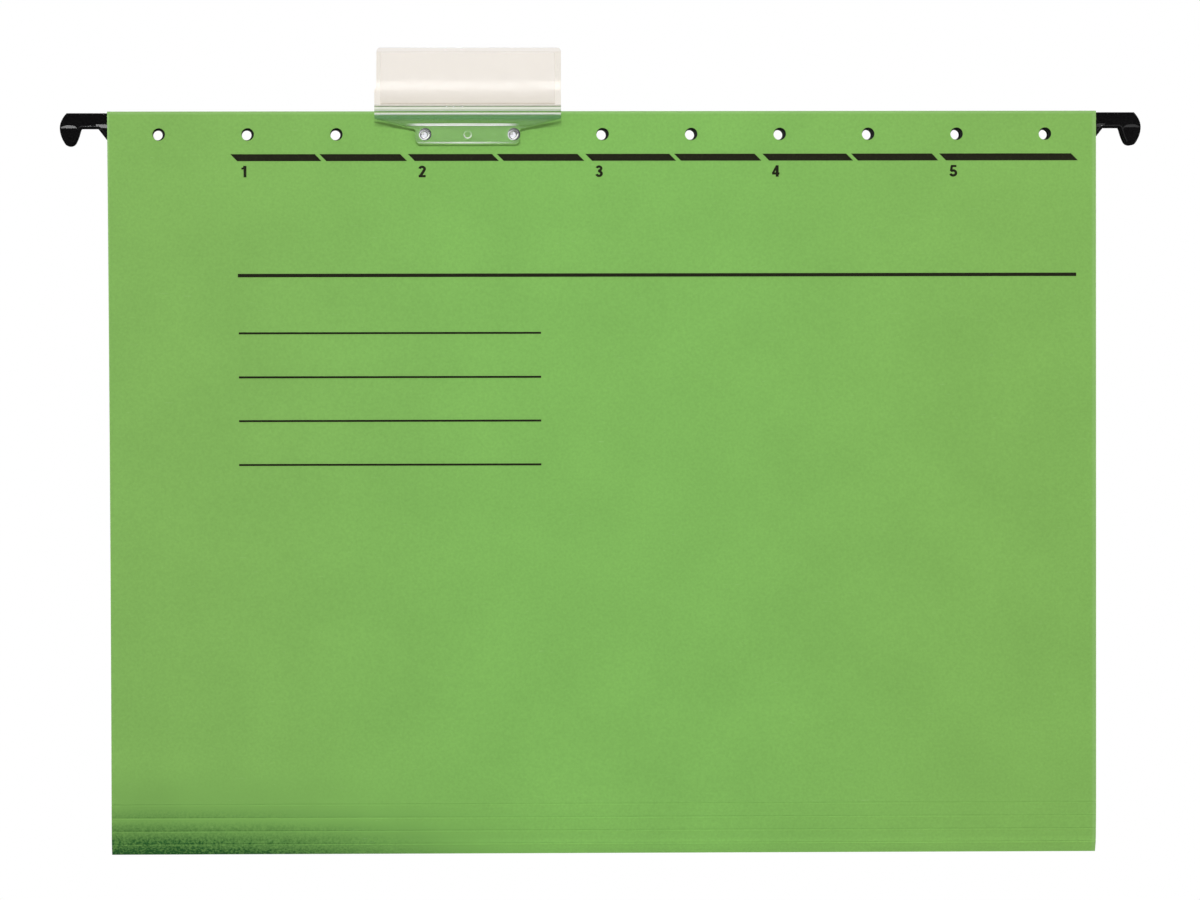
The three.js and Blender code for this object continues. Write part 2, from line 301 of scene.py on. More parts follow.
def makePressboard(tree, place, settings):
    axes = addNode(tree, "SeparateXYZ", {"Vector": place}).node.outputs
    across = addNode(tree, "Math", {0: axes["X"], 1: settings["shift"]}, operation="SUBTRACT")
    aside = addNode(tree, "Math", {0: across}, operation="ABSOLUTE")
    cloud = addNode(tree, "TexNoise", {
        "Vector": place, "Scale": 1 / settings["cloud"], "Detail": 3.0})
    grain = addNode(tree, "TexNoise", {
        "Vector": place, "Scale": 1 / settings["grain"], "Detail": 5.0, "Roughness": 0.65})
    length, width = settings["fibre"]
    slender = [1 / length, 1 / width, 1 / width]
    fibrePlace = addNode(tree, "Mapping", {"Vector": place, "Scale": slender})
    fibre = addNode(tree, "TexNoise", {
        "Vector": fibrePlace, "Scale": 1.0, "Detail": 2.0, "Distortion": 1.2})
    values = {"x": axes["X"], "z": axes["Z"], "across": across, "aside": aside,
              "cloud": cloud, "grain": grain, "fibre": fibre}
    fades = {}
    for fade, (value, start, end, low, high, smooth) in settings["fades"].items():
        inputs = {"Value": values[value], 1: start, 2: end, 3: low, 4: high}
        kind = "SMOOTHSTEP" if smooth else "LINEAR"
        fades[fade] = addNode(tree, "MapRange", inputs, interpolation_type=kind)

    # Painted shade along the base and down each strip to its crease, strongest towards the left end
    paintedShade = addNode(tree, "Math", {
        0: fades["paintedShadeBase"], 1: settings["paintedShadeCurve"]}, operation="POWER")
    paintedShade = addNode(tree, "Math", {
        0: paintedShade, 1: settings["paintedShadeDepth"], 2: fades["paintedShadeAbove"]}, operation="MULTIPLY_ADD")
    below = addNode(tree, "Math", {0: settings["crease"], 1: axes["Z"]}, operation="SUBTRACT")
    strip = addNode(tree, "Math", {0: below, 1: settings["creaseSpacing"]}, operation="DIVIDE")
    strip = addNode(tree, "Math", {0: strip}, operation="FRACT")
    paintedShade = addNode(tree, "Math", {
        0: strip, 1: fades["paintedShadeCreases"], 2: paintedShade}, operation="MULTIPLY_ADD")
    for fade in ("paintedShadeLeft", "paintedShadeGrains"):
        paintedShade = addNode(tree, "Math", {0: paintedShade, 1: fades[fade]}, operation="MULTIPLY")

    # Folds and cut edges are paler, where the dyed fibres have broken
    worn = fades["topFold"]
    for fade in ("rightCut", "sideCuts"):
        worn = addNode(tree, "Math", {0: worn, 1: fades[fade]}, operation="MAXIMUM")

    # Each layer is mixed in or multiplies what lies under it
    colour = toLinear(settings["left"])
    for factor, layer, blend in (
            (fades["toMiddle"], toLinear(settings["middle"]), "MIX"),
            (fades["toRight"], toLinear(settings["right"]), "MIX"),
            (1.0, fades["clouds"], "MULTIPLY"),
            (1.0, fades["grains"], "MULTIPLY"),
            (fades["fibres"], toLinear(settings["pale"]), "MIX"),
            (paintedShade, toLinear(settings["paintedShade"]), "MIX"),
            (1.0, fades["paintedLightAtFold"], "MULTIPLY"),
            (worn, toLinear(settings["pale"]), "MIX")):
        inputs = {0: factor, 6: colour, 7: layer}
        colour = addNode(tree, "Mix", inputs, data_type="RGBA", blend_type=blend, output=2)

    height = addNode(tree, "Math", {0: fibre, 1: 0.4}, operation="MULTIPLY")
    height = addNode(tree, "Math", {0: grain, 1: 0.6, 2: height}, operation="MULTIPLY_ADD")
    bump = addNode(tree, "Bump", {"Height": height, "Strength": 0.35, "Distance": 0.06 * mm})
    return addNode(tree, "BsdfPrincipled", {
        "Base Color": colour, "Roughness": settings["roughness"], "Normal": bump,
        "Specular IOR Level": 0.3})


# Black stoving lacquer on steel strip: smooth, semi-gloss, with a slight orange peel
def makeLacquer(tree, place):
    peel = addNode(tree, "TexNoise", {"Vector": place, "Scale": 1 / (1.5 * mm), "Detail": 2.0})
    scuff = addNode(tree, "TexNoise", {"Vector": place, "Scale": 1 / (9 * mm), "Detail": 4.0})
    rough = addNode(tree, "MapRange", {"Value": scuff, 1: 0.3, 2: 0.7, 3: 0.28, 4: 0.42})
    bump = addNode(tree, "Bump", {"Height": peel, "Strength": 0.2, "Distance": 0.05 * mm})
    return addNode(tree, "BsdfPrincipled", {
        "Base Color": toLinear("#0a090b"), "Roughness": rough, "Normal": bump,
        "Coat Weight": 0.3, "Coat Roughness": 0.15})


# Bare cut steel in the punched holes: grey, with fine shear marks along the punch's stroke
def makeCutSteel(tree, place):
    marksPerMetre = [9000, 400, 9000]  # each 0.11 mm wide and 2.5 mm long
    stretched = addNode(tree, "Mapping", {"Vector": place, "Scale": marksPerMetre})
    marks = addNode(tree, "TexNoise", {"Vector": stretched, "Scale": 1.0, "Detail": 2.0})
    rough = addNode(tree, "MapRange", {"Value": marks, 1: 0.3, 2: 0.7, 3: 0.3, 4: 0.5})
    return addNode(tree, "BsdfPrincipled", {
        "Base Color": toLinear("#8b8a88"), "Metallic": 1.0, "Roughness": rough})


# Injection-moulded black nylon: glossy skin over a faint grain from the mould
def makeNylon(tree, place):
    skin = addNode(tree, "TexNoise", {"Vector": place, "Scale": 1 / (0.8 * mm), "Detail": 3.0})
    rough = addNode(tree, "MapRange", {"Value": skin, 1: 0.3, 2: 0.7, 3: 0.2, 4: 0.24})
    bump = addNode(tree, "Bump", {"Height": skin, "Strength": 0.04, "Distance": 0.02 * mm})
    return addNode(tree, "BsdfPrincipled", {
        "Base Color": toLinear("#050405"), "Roughness": rough, "Normal": bump, "IOR": 1.47})


# Clear moulded polystyrene with bright polished faces, and painted highlights as a white haze along
# the bend, the ledge and the tongue's end, round the pins and on the ring mark
# Light passes the window well, the slope and tongue less, and their rims cast a dark line
# A tint or shade holds below its height, in millimetres
# A painted highlight line is given as its middle, its half width and its strength
moulding = {
    # Tints banded by height, with painted shade in the dark line from 7.85 mm and in the darker
    # ledge and slope bands, and a painted highlight in the bright band from 5.7 mm
    "tintsAndPaintedShading": (
        (30, "#fdfcfa"), (8.8, "#efeae2"), (8.35, "#dcd9cd"), (7.85, "#a4a295"), (7.5, "#e2e6d6"),
        (6.6, "#c8d0bc"), (6.05, "#ccd4c6"), (5.7, "#fffce7"), (5.05, "#b6cec8"),
        (4.72, "#c8d7f1"), (3.2, "#f4f8ff"), (1.1, "#f6f6ff")),
    "wallShades": ((30, "#fcfcfc"), (5.5, "#dfdfdf"), (1.1, "#ffffff")),
    "rim": "#a6a59e",
    "rimShade": "#e0e0e0",
    "nearShade": "#101010",  # the rim's, near the card, behind rimFace
    "rimFace": -6.6 * mm,
    "margin": "#f8f5f0",  # beside the label, above marginEnd
    "topMargin": "#f4efe9",
    "labelEnd": 30.6 * mm,
    "labelTop": 26.7 * mm,
    "marginEnd": 8.3 * mm,
    "centre": -47.15 * mm,
    # Painted highlights: white haze lines along the bend, the ledge and the tongue's end, and marks
    # round the pins and the ring
    "bend": (1.45 * mm, 0.34 * mm, 1.0),
    "highlightSpan": (-48.9 * mm, 20 * mm, 6.0),
    "ledge": (6.2 * mm, 0.26 * mm, 0.55),
    "tongueEndHighlight": (-4.95 * mm, 0.25 * mm, 0.12),
    "firstPin": -62.46 * mm,
    "pinPitch": 31.23 * mm,
    "pinZ": -2.05 * mm,
    "pinHighlightLevel": 0.1,
    "pinHighlightRadius": 2.35 * mm,
    "highlightDotPlace": (-0.5 * mm, 0, 0.4 * mm),
    "highlightDot": (0, 0.85 * mm, 0.8),
    "highlightCrescent": (1.65 * mm, 0.4 * mm, 1.0),
    "highlightCrescentEdge": (1.3 * mm, 2 * mm),
    "markZ": -2.2 * mm,
    "markRadius": 1.25 * mm,
    "markHalf": 0.35 * mm,
    "ringHighlightStrengths": (0.08, 0.6),  # at its top and at its bottom
}


def makeZones(tree, z, zones):
    colour = toLinear(zones[0][1])
    for top, code in zones[1:]:
        below = addNode(tree, "MapRange", {"Value": z, 1: (top + 0.12) * mm, 2: (top - 0.12) * mm})
        inputs = {0: below, 6: colour, 7: toLinear(code)}
        colour = addNode(tree, "Mix", inputs, data_type="RGBA", output=2)
    return colour


# From its strength at the middle down to nothing at the half width
def makeLine(tree, value, middle, halfWidth, strength):
    away = addNode(tree, "Math", {0: value, 1: middle}, operation="SUBTRACT")
    away = addNode(tree, "Math", {0: away}, operation="ABSOLUTE")
    return addNode(tree, "MapRange", {"Value": away, 2: halfWidth, 3: strength, 4: 0.0})


# Painted highlights round each pin's root: a faint glow, a bright dot to its upper left and a
# crescent to its lower right
def makePinHighlights(tree, axes, settings):
    half = settings["pinPitch"] / 2
    along = addNode(tree, "Math", {0: axes["X"], 1: settings["firstPin"]}, operation="SUBTRACT")
    along = addNode(tree, "Math", {0: along, 1: half, 2: -half}, operation="WRAP")
    above = addNode(tree, "Math", {0: axes["Z"], 1: settings["pinZ"]}, operation="SUBTRACT")
    place = addNode(tree, "CombineXYZ", {"X": along, "Z": above})
    away = addNode(tree, "VectorMath", {0: place}, operation="LENGTH", output="Value")
    pinHighlight = addNode(tree, "MapRange", {
        "Value": away, 1: settings["pinHighlightRadius"] - 0.6 * mm, 2: settings["pinHighlightRadius"],
        3: settings["pinHighlightLevel"], 4: 0.0})
    fromDot = addNode(tree, "VectorMath", {
        0: place, 1: settings["highlightDotPlace"]}, operation="DISTANCE", output="Value")
    highlightDot = makeLine(tree, fromDot, *settings["highlightDot"])
    start, end = settings["highlightCrescentEdge"]
    lowRight = addNode(tree, "Math", {0: along, 1: above}, operation="SUBTRACT")
    lowRight = addNode(tree, "MapRange", {"Value": lowRight, 1: start, 2: end})
    highlightCrescent = makeLine(tree, away, *settings["highlightCrescent"])
    highlightCrescent = addNode(tree, "Math", {0: highlightCrescent, 1: lowRight}, operation="MULTIPLY")
    for part in (highlightDot, highlightCrescent):
        pinHighlight = addNode(tree, "Math", {0: pinHighlight, 1: part}, operation="MAXIMUM")
    return pinHighlight


# A ring mark's painted highlight, brighter at its bottom
def makeRingHighlight(tree, place, z, settings):
    flat = addNode(tree, "VectorMath", {0: place, 1: (1, 0, 1)}, operation="MULTIPLY")
    centre = (settings["centre"], 0, settings["markZ"])
    away = addNode(tree, "VectorMath", {0: flat, 1: centre}, operation="DISTANCE", output="Value")
    ring = makeLine(tree, away, settings["markRadius"], settings["markHalf"], 1.0)
    high, low = settings["ringHighlightStrengths"]
    strength = addNode(tree, "MapRange", {
        "Value": z, 1: settings["markZ"] + mm, 2: settings["markZ"] - mm, 3: high, 4: low})
    return addNode(tree, "Math", {0: ring, 1: strength}, operation="MULTIPLY")


def makePolystyrene(tree, place, settings):
    axes = addNode(tree, "SeparateXYZ", {"Vector": place}).node.outputs
    z = axes["Z"]
    normal = addNode(tree, "NewGeometry", output="Normal")
    facing = addNode(tree, "SeparateXYZ", {"Vector": normal}, output="Y")
    facing = addNode(tree, "Math", {0: facing}, operation="ABSOLUTE")
    facing = addNode(tree, "MapRange", {"Value": facing, 1: 0.25, 2: 0.5})
    along = addNode(tree, "Math", {0: axes["X"], 1: settings["centre"]}, operation="SUBTRACT")
    along = addNode(tree, "Math", {0: along}, operation="ABSOLUTE")

    # Soft steps where the rim nears the card and where the label's margins start
    steps = []
    for value, limit, half in ((axes["Y"], "rimFace", 0.2 * mm), (along, "labelEnd", 0.1 * mm),
                               (z, "marginEnd", 0.1 * mm), (z, "labelTop", 0.1 * mm)):
        inputs = {"Value": value, 1: settings[limit] - half, 2: settings[limit] + half}
        steps.append(addNode(tree, "MapRange", inputs))
    near, beside, overLedge, overLabel = steps
    beside = addNode(tree, "Math", {0: beside, 1: overLedge}, operation="MULTIPLY")

    # What passes in shadow and diffuse rays
    rimShade = addNode(tree, "Mix", {
        0: near, 6: toLinear(settings["rimShade"]), 7: toLinear(settings["nearShade"])},
        data_type="RGBA", output=2)
    passed = addNode(tree, "Mix", {
        0: facing, 6: rimShade, 7: makeZones(tree, z, settings["wallShades"])},
        data_type="RGBA", output=2)
    clear = addNode(tree, "BsdfTransparent", {"Color": passed})

    # What is seen: tinted glass, with painted highlights as a white haze on its lines and marks
    # The glass's tint, banded with painted shade and painted highlights
    tint = makeZones(tree, z, settings["tintsAndPaintedShading"])
    for factor, margin in ((beside, "margin"), (overLabel, "topMargin")):
        inputs = {0: factor, 6: tint, 7: toLinear(settings[margin])}
        tint = addNode(tree, "Mix", inputs, data_type="RGBA", output=2)
    tint = addNode(tree, "Mix", {
        0: facing, 6: toLinear(settings["rim"]), 7: tint}, data_type="RGBA", output=2)
    flow = addNode(tree, "TexNoise", {"Vector": place, "Scale": 1 / (6 * mm), "Detail": 1.0})
    rough = addNode(tree, "MapRange", {"Value": flow, 1: 0.3, 2: 0.7, 3: 0.012, 4: 0.03})
    glass = addNode(tree, "BsdfPrincipled", {
        "Base Color": tint, "Roughness": rough, "IOR": 1.5, "Transmission Weight": 1.0})
    paintedHighlight = addNode(tree, "BsdfPrincipled", {"Base Color": toLinear("#fbfff6"), "Roughness": 0.4})
    highlightSpan = makeLine(tree, axes["X"], *settings["highlightSpan"])
    lines = [makePinHighlights(tree, axes, settings), makeRingHighlight(tree, place, z, settings),
             makeLine(tree, z, *settings["ledge"])]
    for line in ("bend", "tongueEndHighlight"):
        inputs = {0: makeLine(tree, z, *settings[line]), 1: highlightSpan}
        lines.append(addNode(tree, "Math", inputs, operation="MULTIPLY", use_clamp=True))
    white = lines[0]
    for line in lines[1:]:
        white = addNode(tree, "Math", {0: white, 1: line}, operation="MAXIMUM")
    body = addNode(tree, "MixShader", {"Fac": white, 1: glass, 2: paintedHighlight})

    rays = addNode(tree, "LightPath").node.outputs
    lit = addNode(tree, "Math", {
        0: rays["Is Shadow Ray"], 1: rays["Is Diffuse Ray"]}, operation="MAXIMUM")
    return addNode(tree, "MixShader", {"Fac": lit, 1: body, 2: clear})


# Wood-free office paper: off-white and matt, with painted shade that makes it darker and warmer
# towards its lower edge
def makePaper(tree, place):
    z = addNode(tree, "SeparateXYZ", {"Vector": place}, output="Z")
    fibre = addNode(tree, "TexNoise", {"Vector": place, "Scale": 1 / (0.6 * mm), "Detail": 4.0})
    # Painted shade: the paper darkens from 14 mm down to 8 mm
    lower = addNode(tree, "MapRange", {"Value": z, 1: 14 * mm, 2: 8 * mm})
    tone = addNode(tree, "Mix", {
        0: lower, 6: toLinear("#f7f1ea"), 7: toLinear("#e7e0d5")}, data_type="RGBA", output=2)
    speck = addNode(tree, "MapRange", {"Value": fibre, 1: 0.3, 2: 0.7, 3: 0.975, 4: 1.02})
    colour = addNode(tree, "Mix", {
        0: 1.0, 6: tone, 7: speck}, data_type="RGBA", blend_type="MULTIPLY", output=2)
    bump = addNode(tree, "Bump", {"Height": fibre, "Strength": 0.2, "Distance": 0.03 * mm})
    return addNode(tree, "BsdfPrincipled", {
        "Base Color": colour, "Roughness": 0.8, "Normal": bump})


# Offset printing ink, soaked into the card: dark, flat, with the card's tone in its thin spots
def makeInk(tree, place):
    thin = addNode(tree, "TexNoise", {"Vector": place, "Scale": 1 / (0.7 * mm), "Detail": 4.0})
    spots = addNode(tree, "MapRange", {"Value": thin, 1: 0.5, 2: 0.75, 3: 0.0, 4: 0.35})
    colour = addNode(tree, "Mix", {
        0: spots, 6: toLinear("#1c1c0c"), 7: toLinear("#2f381a")}, data_type="RGBA", output=2)
    return addNode(tree, "BsdfPrincipled", {
        "Base Color": colour, "Roughness": 0.62, "Specular IOR Level": 0.12})


card = makeMaterial("dyed_pressboard", makePressboard, pressboard)
lacquer = makeMaterial("black_lacquer", makeLacquer)
cutSteel = makeMaterial("cut_steel", makeCutSteel)
nylon = makeMaterial("black_nylon", makeNylon)
polystyrene = makeMaterial("clear_polystyrene", makePolystyrene, moulding)
paper = makeMaterial("office_paper", makePaper)
ink = makeMaterial("printing_ink", makeInk)
print("materials made")


# Card sleeve
sleeve = {
    "halfWidth": 174 * mm,
    "shift": 0.6 * mm,  # the card sits this far to the right of its rails
    "halfDepth": 4.7 * mm,
    "card": 0.35 * mm,
    "top": 6.05 * mm,
    "crease": -238.15 * mm,  # the cover's lower crease
    "creaseGap": 0.68 * mm,
    "foldLine": -255.8 * mm,
    "baseHeight": 17.7 * mm,
    "flapDepth": 2.15 * mm,  # from the front sheet's middle to the flap's
    "joggleTop": -7.05 * mm,
    "glueTop": -10.95 * mm,
    "flapEnd": -16.95 * mm,
    "glue": 0.02 * mm,
    "foldRadius": 0.475 * mm,
    "joggleRadius": 1.2 * mm,
    "columns": 48,
    "rows": 22,
    "firstRow": -24 * mm,
    "rowPitch": 9.8 * mm,
    "score": -137.3 * mm,  # half-height fold line
    "scoreReach": 0.7 * mm,
    "scoreDepth": 0.04 * mm,
    "scoreFade": (-130 * mm, -40 * mm, 0.35),  # from here to there, and its share of depth before
    "holePitch": 31.23 * mm,
    "holeShift": 0.4 * mm,
    "holeZ": -2.05 * mm,
    "holeRadius": 2.2 * mm,
    "belly": 0.5 * mm,  # how far each cover bows out
    "bellyTop": -20 * mm,
    "bellyHeight": 218 * mm,
    "bellyTurn": 0.42 * math.pi,  # of its wave, from the middle to each side
    "ripple": 0.14 * mm,
    "rippleStart": -50 * mm,
    "rippleLength": 260 * mm,
    "leftCut": (-0.48 * mm, 0.87 * mm, 6.5),  # the left edge isn't cut quite square
}
columnShares = [2 * i / sleeve["columns"] - 1 for i in range(sleeve["columns"] + 1)]
columns = [sleeve["shift"] + sleeve["halfWidth"] * share for share in columnShares]
holes = [i * sleeve["holePitch"] for i in range(-5, 6)]
halves = (("front", -1), ("back", 1))


def clamped(value):
    return min(max(value, 0), 1)


# How far the hanging card stands out of true: none along the rail and at the bottom fold
def bow(x, z):
    down = clamped((sleeve["bellyTop"] - z) / sleeve["bellyHeight"])
    base = clamped((z - sleeve["foldLine"]) / sleeve["baseHeight"])
    across = math.cos(sleeve["bellyTurn"] * x / sleeve["halfWidth"])
    belly = sleeve["belly"] * math.sin(math.pi * down) * across
    wave = math.sin(math.tau * (x - sleeve["rippleStart"]) / sleeve["rippleLength"])
    return belly + sleeve["ripple"] * wave * down ** 2 * base


def settle(piece, side):
    leftEnd = sleeve["shift"] - sleeve["halfWidth"]
    topShift, sweep, turn = sleeve["leftCut"]
    for vertex in piece.data.vertices:
        vertex.co.y += side * bow(vertex.co.x, vertex.co.z)
        if vertex.co.x < leftEnd + mm:
            vertex.co.x += topShift + sweep * math.sin(turn * (sleeve["top"] - vertex.co.z))


def punch(piece, radius, shift, y, z):
    cutters = []
    for x in holes:
        deselectAll()
        bpy.ops.mesh.primitive_cylinder_add(
            vertices=48, radius=radius, depth=6 * mm, location=(x + shift, y, z),
            rotation=(math.radians(90), 0, 0))
        cutters.append(bpy.context.object)
    combine(piece, joinAll(cutters), "DIFFERENCE")


# One sheet up the face, over the rail, down inside and glued back on itself
def makeCover(side):
    face = sleeve["halfDepth"] - sleeve["card"] / 2
    flap = face - sleeve["flapDepth"]
    glued = face - sleeve["card"] - sleeve["glue"]
    foldZ = sleeve["top"] - sleeve["card"] / 2
    bottom = sleeve["crease"] + sleeve["creaseGap"] / 2
    deselectAll()
    bpy.ops.mesh.primitive_plane_add(
        size=1, location=(sleeve["shift"], side * face, (foldZ + bottom) / 2),
        rotation=(math.radians(90), 0, 0))
    sheet = bpy.context.object
    sheet.scale = (2 * sleeve["halfWidth"], foldZ - bottom, 1)
    bpy.ops.object.transform_apply()
    startEdit(sheet, "EDGE")
    pickEdges(sheet, lambda middle, edge: middle.z > foldZ - mm)
    path = [(face, foldZ), (flap, foldZ), (flap, sleeve["joggleTop"]),
            (glued, sleeve["glueTop"]), (glued, sleeve["flapEnd"])]
    for (y0, z0), (y1, z1) in zip(path, path[1:]):
        bpy.ops.mesh.extrude_region_move(
            TRANSFORM_OT_translate={"value": (0, side * (y1 - y0), z1 - z0)})
    pickEdges(sheet, lambda middle, edge: abs(middle.z - foldZ) < 1e-6
              and abs(edge.verts[0].co.y - edge.verts[1].co.y) < 1e-6)
    bpy.ops.mesh.bevel(offset=sleeve["foldRadius"], segments=6, affect="EDGES")
    for bend in (sleeve["joggleTop"], sleeve["glueTop"]):
        pickEdges(sheet, lambda middle, edge: abs(middle.z - bend) < 1e-6
                  and abs(edge.verts[0].co.z - edge.verts[1].co.z) < 1e-6)
        bpy.ops.mesh.bevel(offset=sleeve["joggleRadius"], segments=4, affect="EDGES")
    for x in columns[1:-1]:
        bpy.ops.mesh.select_all(action="SELECT")
        bpy.ops.mesh.bisect(plane_co=(x, 0, 0), plane_no=(1, 0, 0))
    score = sleeve["score"]
    rows = [sleeve["firstRow"] - sleeve["rowPitch"] * i for i in range(sleeve["rows"])]
    rows = [z for z in rows if abs(z - score) > 3 * mm]
    for z in [score - sleeve["scoreReach"], score, score + sleeve["scoreReach"]] + rows:
        bpy.ops.mesh.select_all(action="SELECT")
        bpy.ops.mesh.bisect(plane_co=(0, 0, z), plane_no=(0, 0, 1))
    endEdit()
    fadeStart, fadeEnd, faint = sleeve["scoreFade"]
    for vertex in sheet.data.vertices:
        if abs(vertex.co.z - score) < 1e-5:
            share = clamped((vertex.co.x - fadeStart) / (fadeEnd - fadeStart))
            vertex.co.y -= side * sleeve["scoreDepth"] * (faint + (1 - faint) * share)
    finishWith(sheet, "SOLIDIFY", thickness=sleeve["card"], offset=0, use_even_offset=True)
    punch(sheet, sleeve["holeRadius"], sleeve["holeShift"], side * (face + flap) / 2,
          sleeve["holeZ"])
    settle(sheet, side)
    return sheet


for half, side in halves:
    present(makeCover(side), half + "CoverSheet", card, half + "_half",
            replaces=[half + "_cover"])
print("covers folded and punched")


# Base: four strips each side of the bottom fold, with a scored crease between them
base = {
    "pitch": 4.7 * mm,
    "upperTilts": [3, 6, 10],  # degrees in from the vertical; the last strip ends on the mid-plane
    "crown": 0.05 * mm,  # each strip bows out between its creases
    "outerDip": 0.11 * mm,  # how far a crease is pressed in
    "innerDip": -0.03 * mm,
    "spreadTilt": 74,  # the last strip's, with the base spread
    "seam": 0.01 * mm,
}


def creaseChain():
    y, z = sleeve["halfDepth"] - sleeve["card"] / 2, sleeve["crease"]
    tilts = [math.radians(tilt) for tilt in base["upperTilts"]]
    reach = y - sum(base["pitch"] * math.sin(tilt) for tilt in tilts)
    tilts.append(math.asin(reach / base["pitch"]))
    points = [Vector((y, z))]
    for tilt in tilts:
        points.append(points[-1] - base["pitch"] * Vector((math.sin(tilt), math.cos(tilt))))
    return points, tilts


points, tilts = creaseChain()
halfCard, halfGap = sleeve["card"] / 2, sleeve["creaseGap"] / 2


# A place on a strip, so far down it and so far out of its middle
def onStrip(index, down, out):
    along = Vector((-math.sin(tilts[index]), -math.cos(tilts[index])))
    outward = Vector((math.cos(tilts[index]), -math.sin(tilts[index])))
    return points[index] + along * down + outward * out


def stripOutline(index):
    last = index == len(tilts) - 1
    outer, inner = [], []
    for skin, out in ((outer, halfCard), (inner, -halfCard)):
        end = base["pitch"] - halfGap
        if last:  # runs on to the mid-plane: its inside when closed, and its outside when spread
            tilt = math.radians(base["spreadTilt"]) if out > 0 else tilts[index]
            end = base["pitch"] + out / math.tan(tilt) - base["seam"] / math.sin(tilt)
        for step in range(7):
            share = step / 6
            crown = base["crown"] * 4 * share * (1 - share)
            skin.append(onStrip(index, halfGap + share * (end - halfGap), out + crown))
    return outer + inner[::-1]


# The ends of the crease above a strip, which match its neighbours
def creaseEnds(index, out):
    lower = onStrip(index, halfGap, out)
    if index == 0:
        return (points[0].x + out, points[0].y + halfGap), lower
    return onStrip(index - 1, base["pitch"] - halfGap, out), lower


def creaseOutline(index):
    outer, inner = [], []
    for skin, out, dip in ((outer, halfCard, "outerDip"), (inner, -halfCard, "innerDip")):
        above, below = creaseEnds(index, out)
        for step in range(5):
            share = step / 4
            inward = Vector((-base[dip] * math.sin(math.pi * share), 0))
            skin.append(Vector(above).lerp(below, share) + inward)
    return outer + inner[::-1]


def makeBaseCard(outline, side):
    piece = drawOut([(side * y, z) for y, z in outline], columns, alongX)
    settle(piece, side)
    return piece


bodies = ["half", "strip_1", "strip_2", "strip_3", "strip_4"]
for half, side in halves:
    for index in range(4):
        number = str(index + 1)
        piece = makeBaseCard(stripOutline(index), side)
        present(piece, half + "Strip" + number, card, half + "_strip_" + number,
                replaces=[half + "_base_strip_" + number])
        piece = makeBaseCard(creaseOutline(index), side)
        ends = [(0, side * end[0], end[1]) for end in creaseEnds(index, 0)]
        present(piece, half + "Crease" + number, card,
                between=(half + "_" + bodies[index], half + "_" + bodies[index + 1], *ends))
print("base creased")


# Rails: steel strip with rounded long edges, punched a little smaller than the card
rail = {
    "halfLength": 172 * mm,
    "halfThickness": 0.3 * mm,
    "top": 5.5 * mm,
    "bottom": -6.8 * mm,
    "edge": 0.2 * mm,
    "centre": 3.45 * mm,
    "holeRadius": 1.75 * mm,
    "holeZ": -2.3 * mm,
}


def makeRail(side):
    near, far = rail["centre"] - rail["halfThickness"], rail["centre"] + rail["halfThickness"]
    corners = [(side * y, z, rail["edge"]) for y, z in (
        (near, rail["bottom"]), (far, rail["bottom"]), (far, rail["top"]), (near, rail["top"]))]
    strip = drawOut(rounded(corners, 4), [-rail["halfLength"], rail["halfLength"]], alongX)
    punch(strip, rail["holeRadius"], 0, side * rail["centre"], rail["holeZ"])
    strip.data.materials.append(lacquer)
    strip.data.materials.append(cutSteel)
    for face in strip.data.polygons:  # the walls of the punched holes are bare
        middle = face.center
        across = min(abs(middle.x - x) for x in holes)
        reach = math.hypot(across, middle.z - rail["holeZ"])
        if abs(face.normal.y) < 0.5 and reach < rail["holeRadius"] * 1.05:
            face.material_index = 1
    return strip


for half, side in halves:
    present(makeRail(side), half + "RailStrip", lacquer, half + "_half",
            replaces=[half + "_rail"], flatWidth=0.6 * mm)
print("rails made")


# Hook ends: a thin arm above, thicker nose and shoulder below, and a rim round the notch
# A narrow slope leads from the thin arm down to each thicker part
hook = {
    "top": 5.5 * mm,
    "bottom": -6.8 * mm,
    "tangEnd": 160.5 * mm,
    "noseTop": 188.1 * mm,
    "noseInner": 183.2 * mm,
    "notchInner": 177 * mm,
    "shoulder": 52,  # degrees
    "halfThickness": 0.65 * mm,
    "thickHalf": 0.93 * mm,
    "lean": 12.8,  # degrees
    "rimHalf": 1.0 * mm,
    "rimWidth": 1.0 * mm,
    "noseSlopeFoot": 0.2 * mm,
    "shoulderSlopeFoot": 0.3 * mm,
    "back": 0.05 * mm,  # web's edge stays this far inside the rim
    "edge": 0.18 * mm,
    "slot": ((165.9 * mm, 0, -0.65 * mm), (12.8 * mm, 0.7 * mm, 20 * mm)),  # centre and size
    # Curves of four knots in millimetres: the nose's outside, side, foot and inside
    "nose": (
        ((188.1, 5.5), (189.5, 4.0), (190.5, 2.2), (190.5, 0.3)),
        ((190.5, 0.3), (190.5, -1.9), (189.6, -3.9), (188.6, -5.35)),
        ((188.6, -5.35), (187.9, -6.45), (185.9, -6.45), (185.1, -5.35)),
        ((185.1, -5.35), (184.3, -4.0), (183.7, -2.2), (183.3, -0.5))),
    "crown": ((184.2, 0.15), (185.2, 1.65), (189.2, 1.55), (190.42, 0.25)),
    "notchTop": ((183.25, -0.5), (183.13, -0.1), (182.8, 0.03), (177.4, 0.03),
                 (177.12, -0.02), (176.86, -0.17)),
}


def curve(*knots):
    return [Vector(p[:2]) for p in interpolate_bezier(*[(x * mm, z * mm) for x, z in knots], 9)][1:]


# A thicker part whose faces slope back to the thin arm above the slope's foot
def makeThickPart(outline, slopeFoot):
    thick = hook["thickHalf"]
    part = softened(drawOut(outline, [-thick, thick], alongY), hook["edge"])
    lean = math.tan(math.radians(hook["lean"]))
    for face in (-1, 1):
        outside, above = face * (thick + mm), slopeFoot + 3 * mm
        corners = [(face * thick, slopeFoot), (outside, slopeFoot - mm * lean),
                   (outside, above), (face * (thick - 3 * mm * lean), above)]
        wedge = drawOut(corners, [170 * mm, 195 * mm], alongX)
        combine(part, wedge, "DIFFERENCE", "MANIFOLD")
    return part


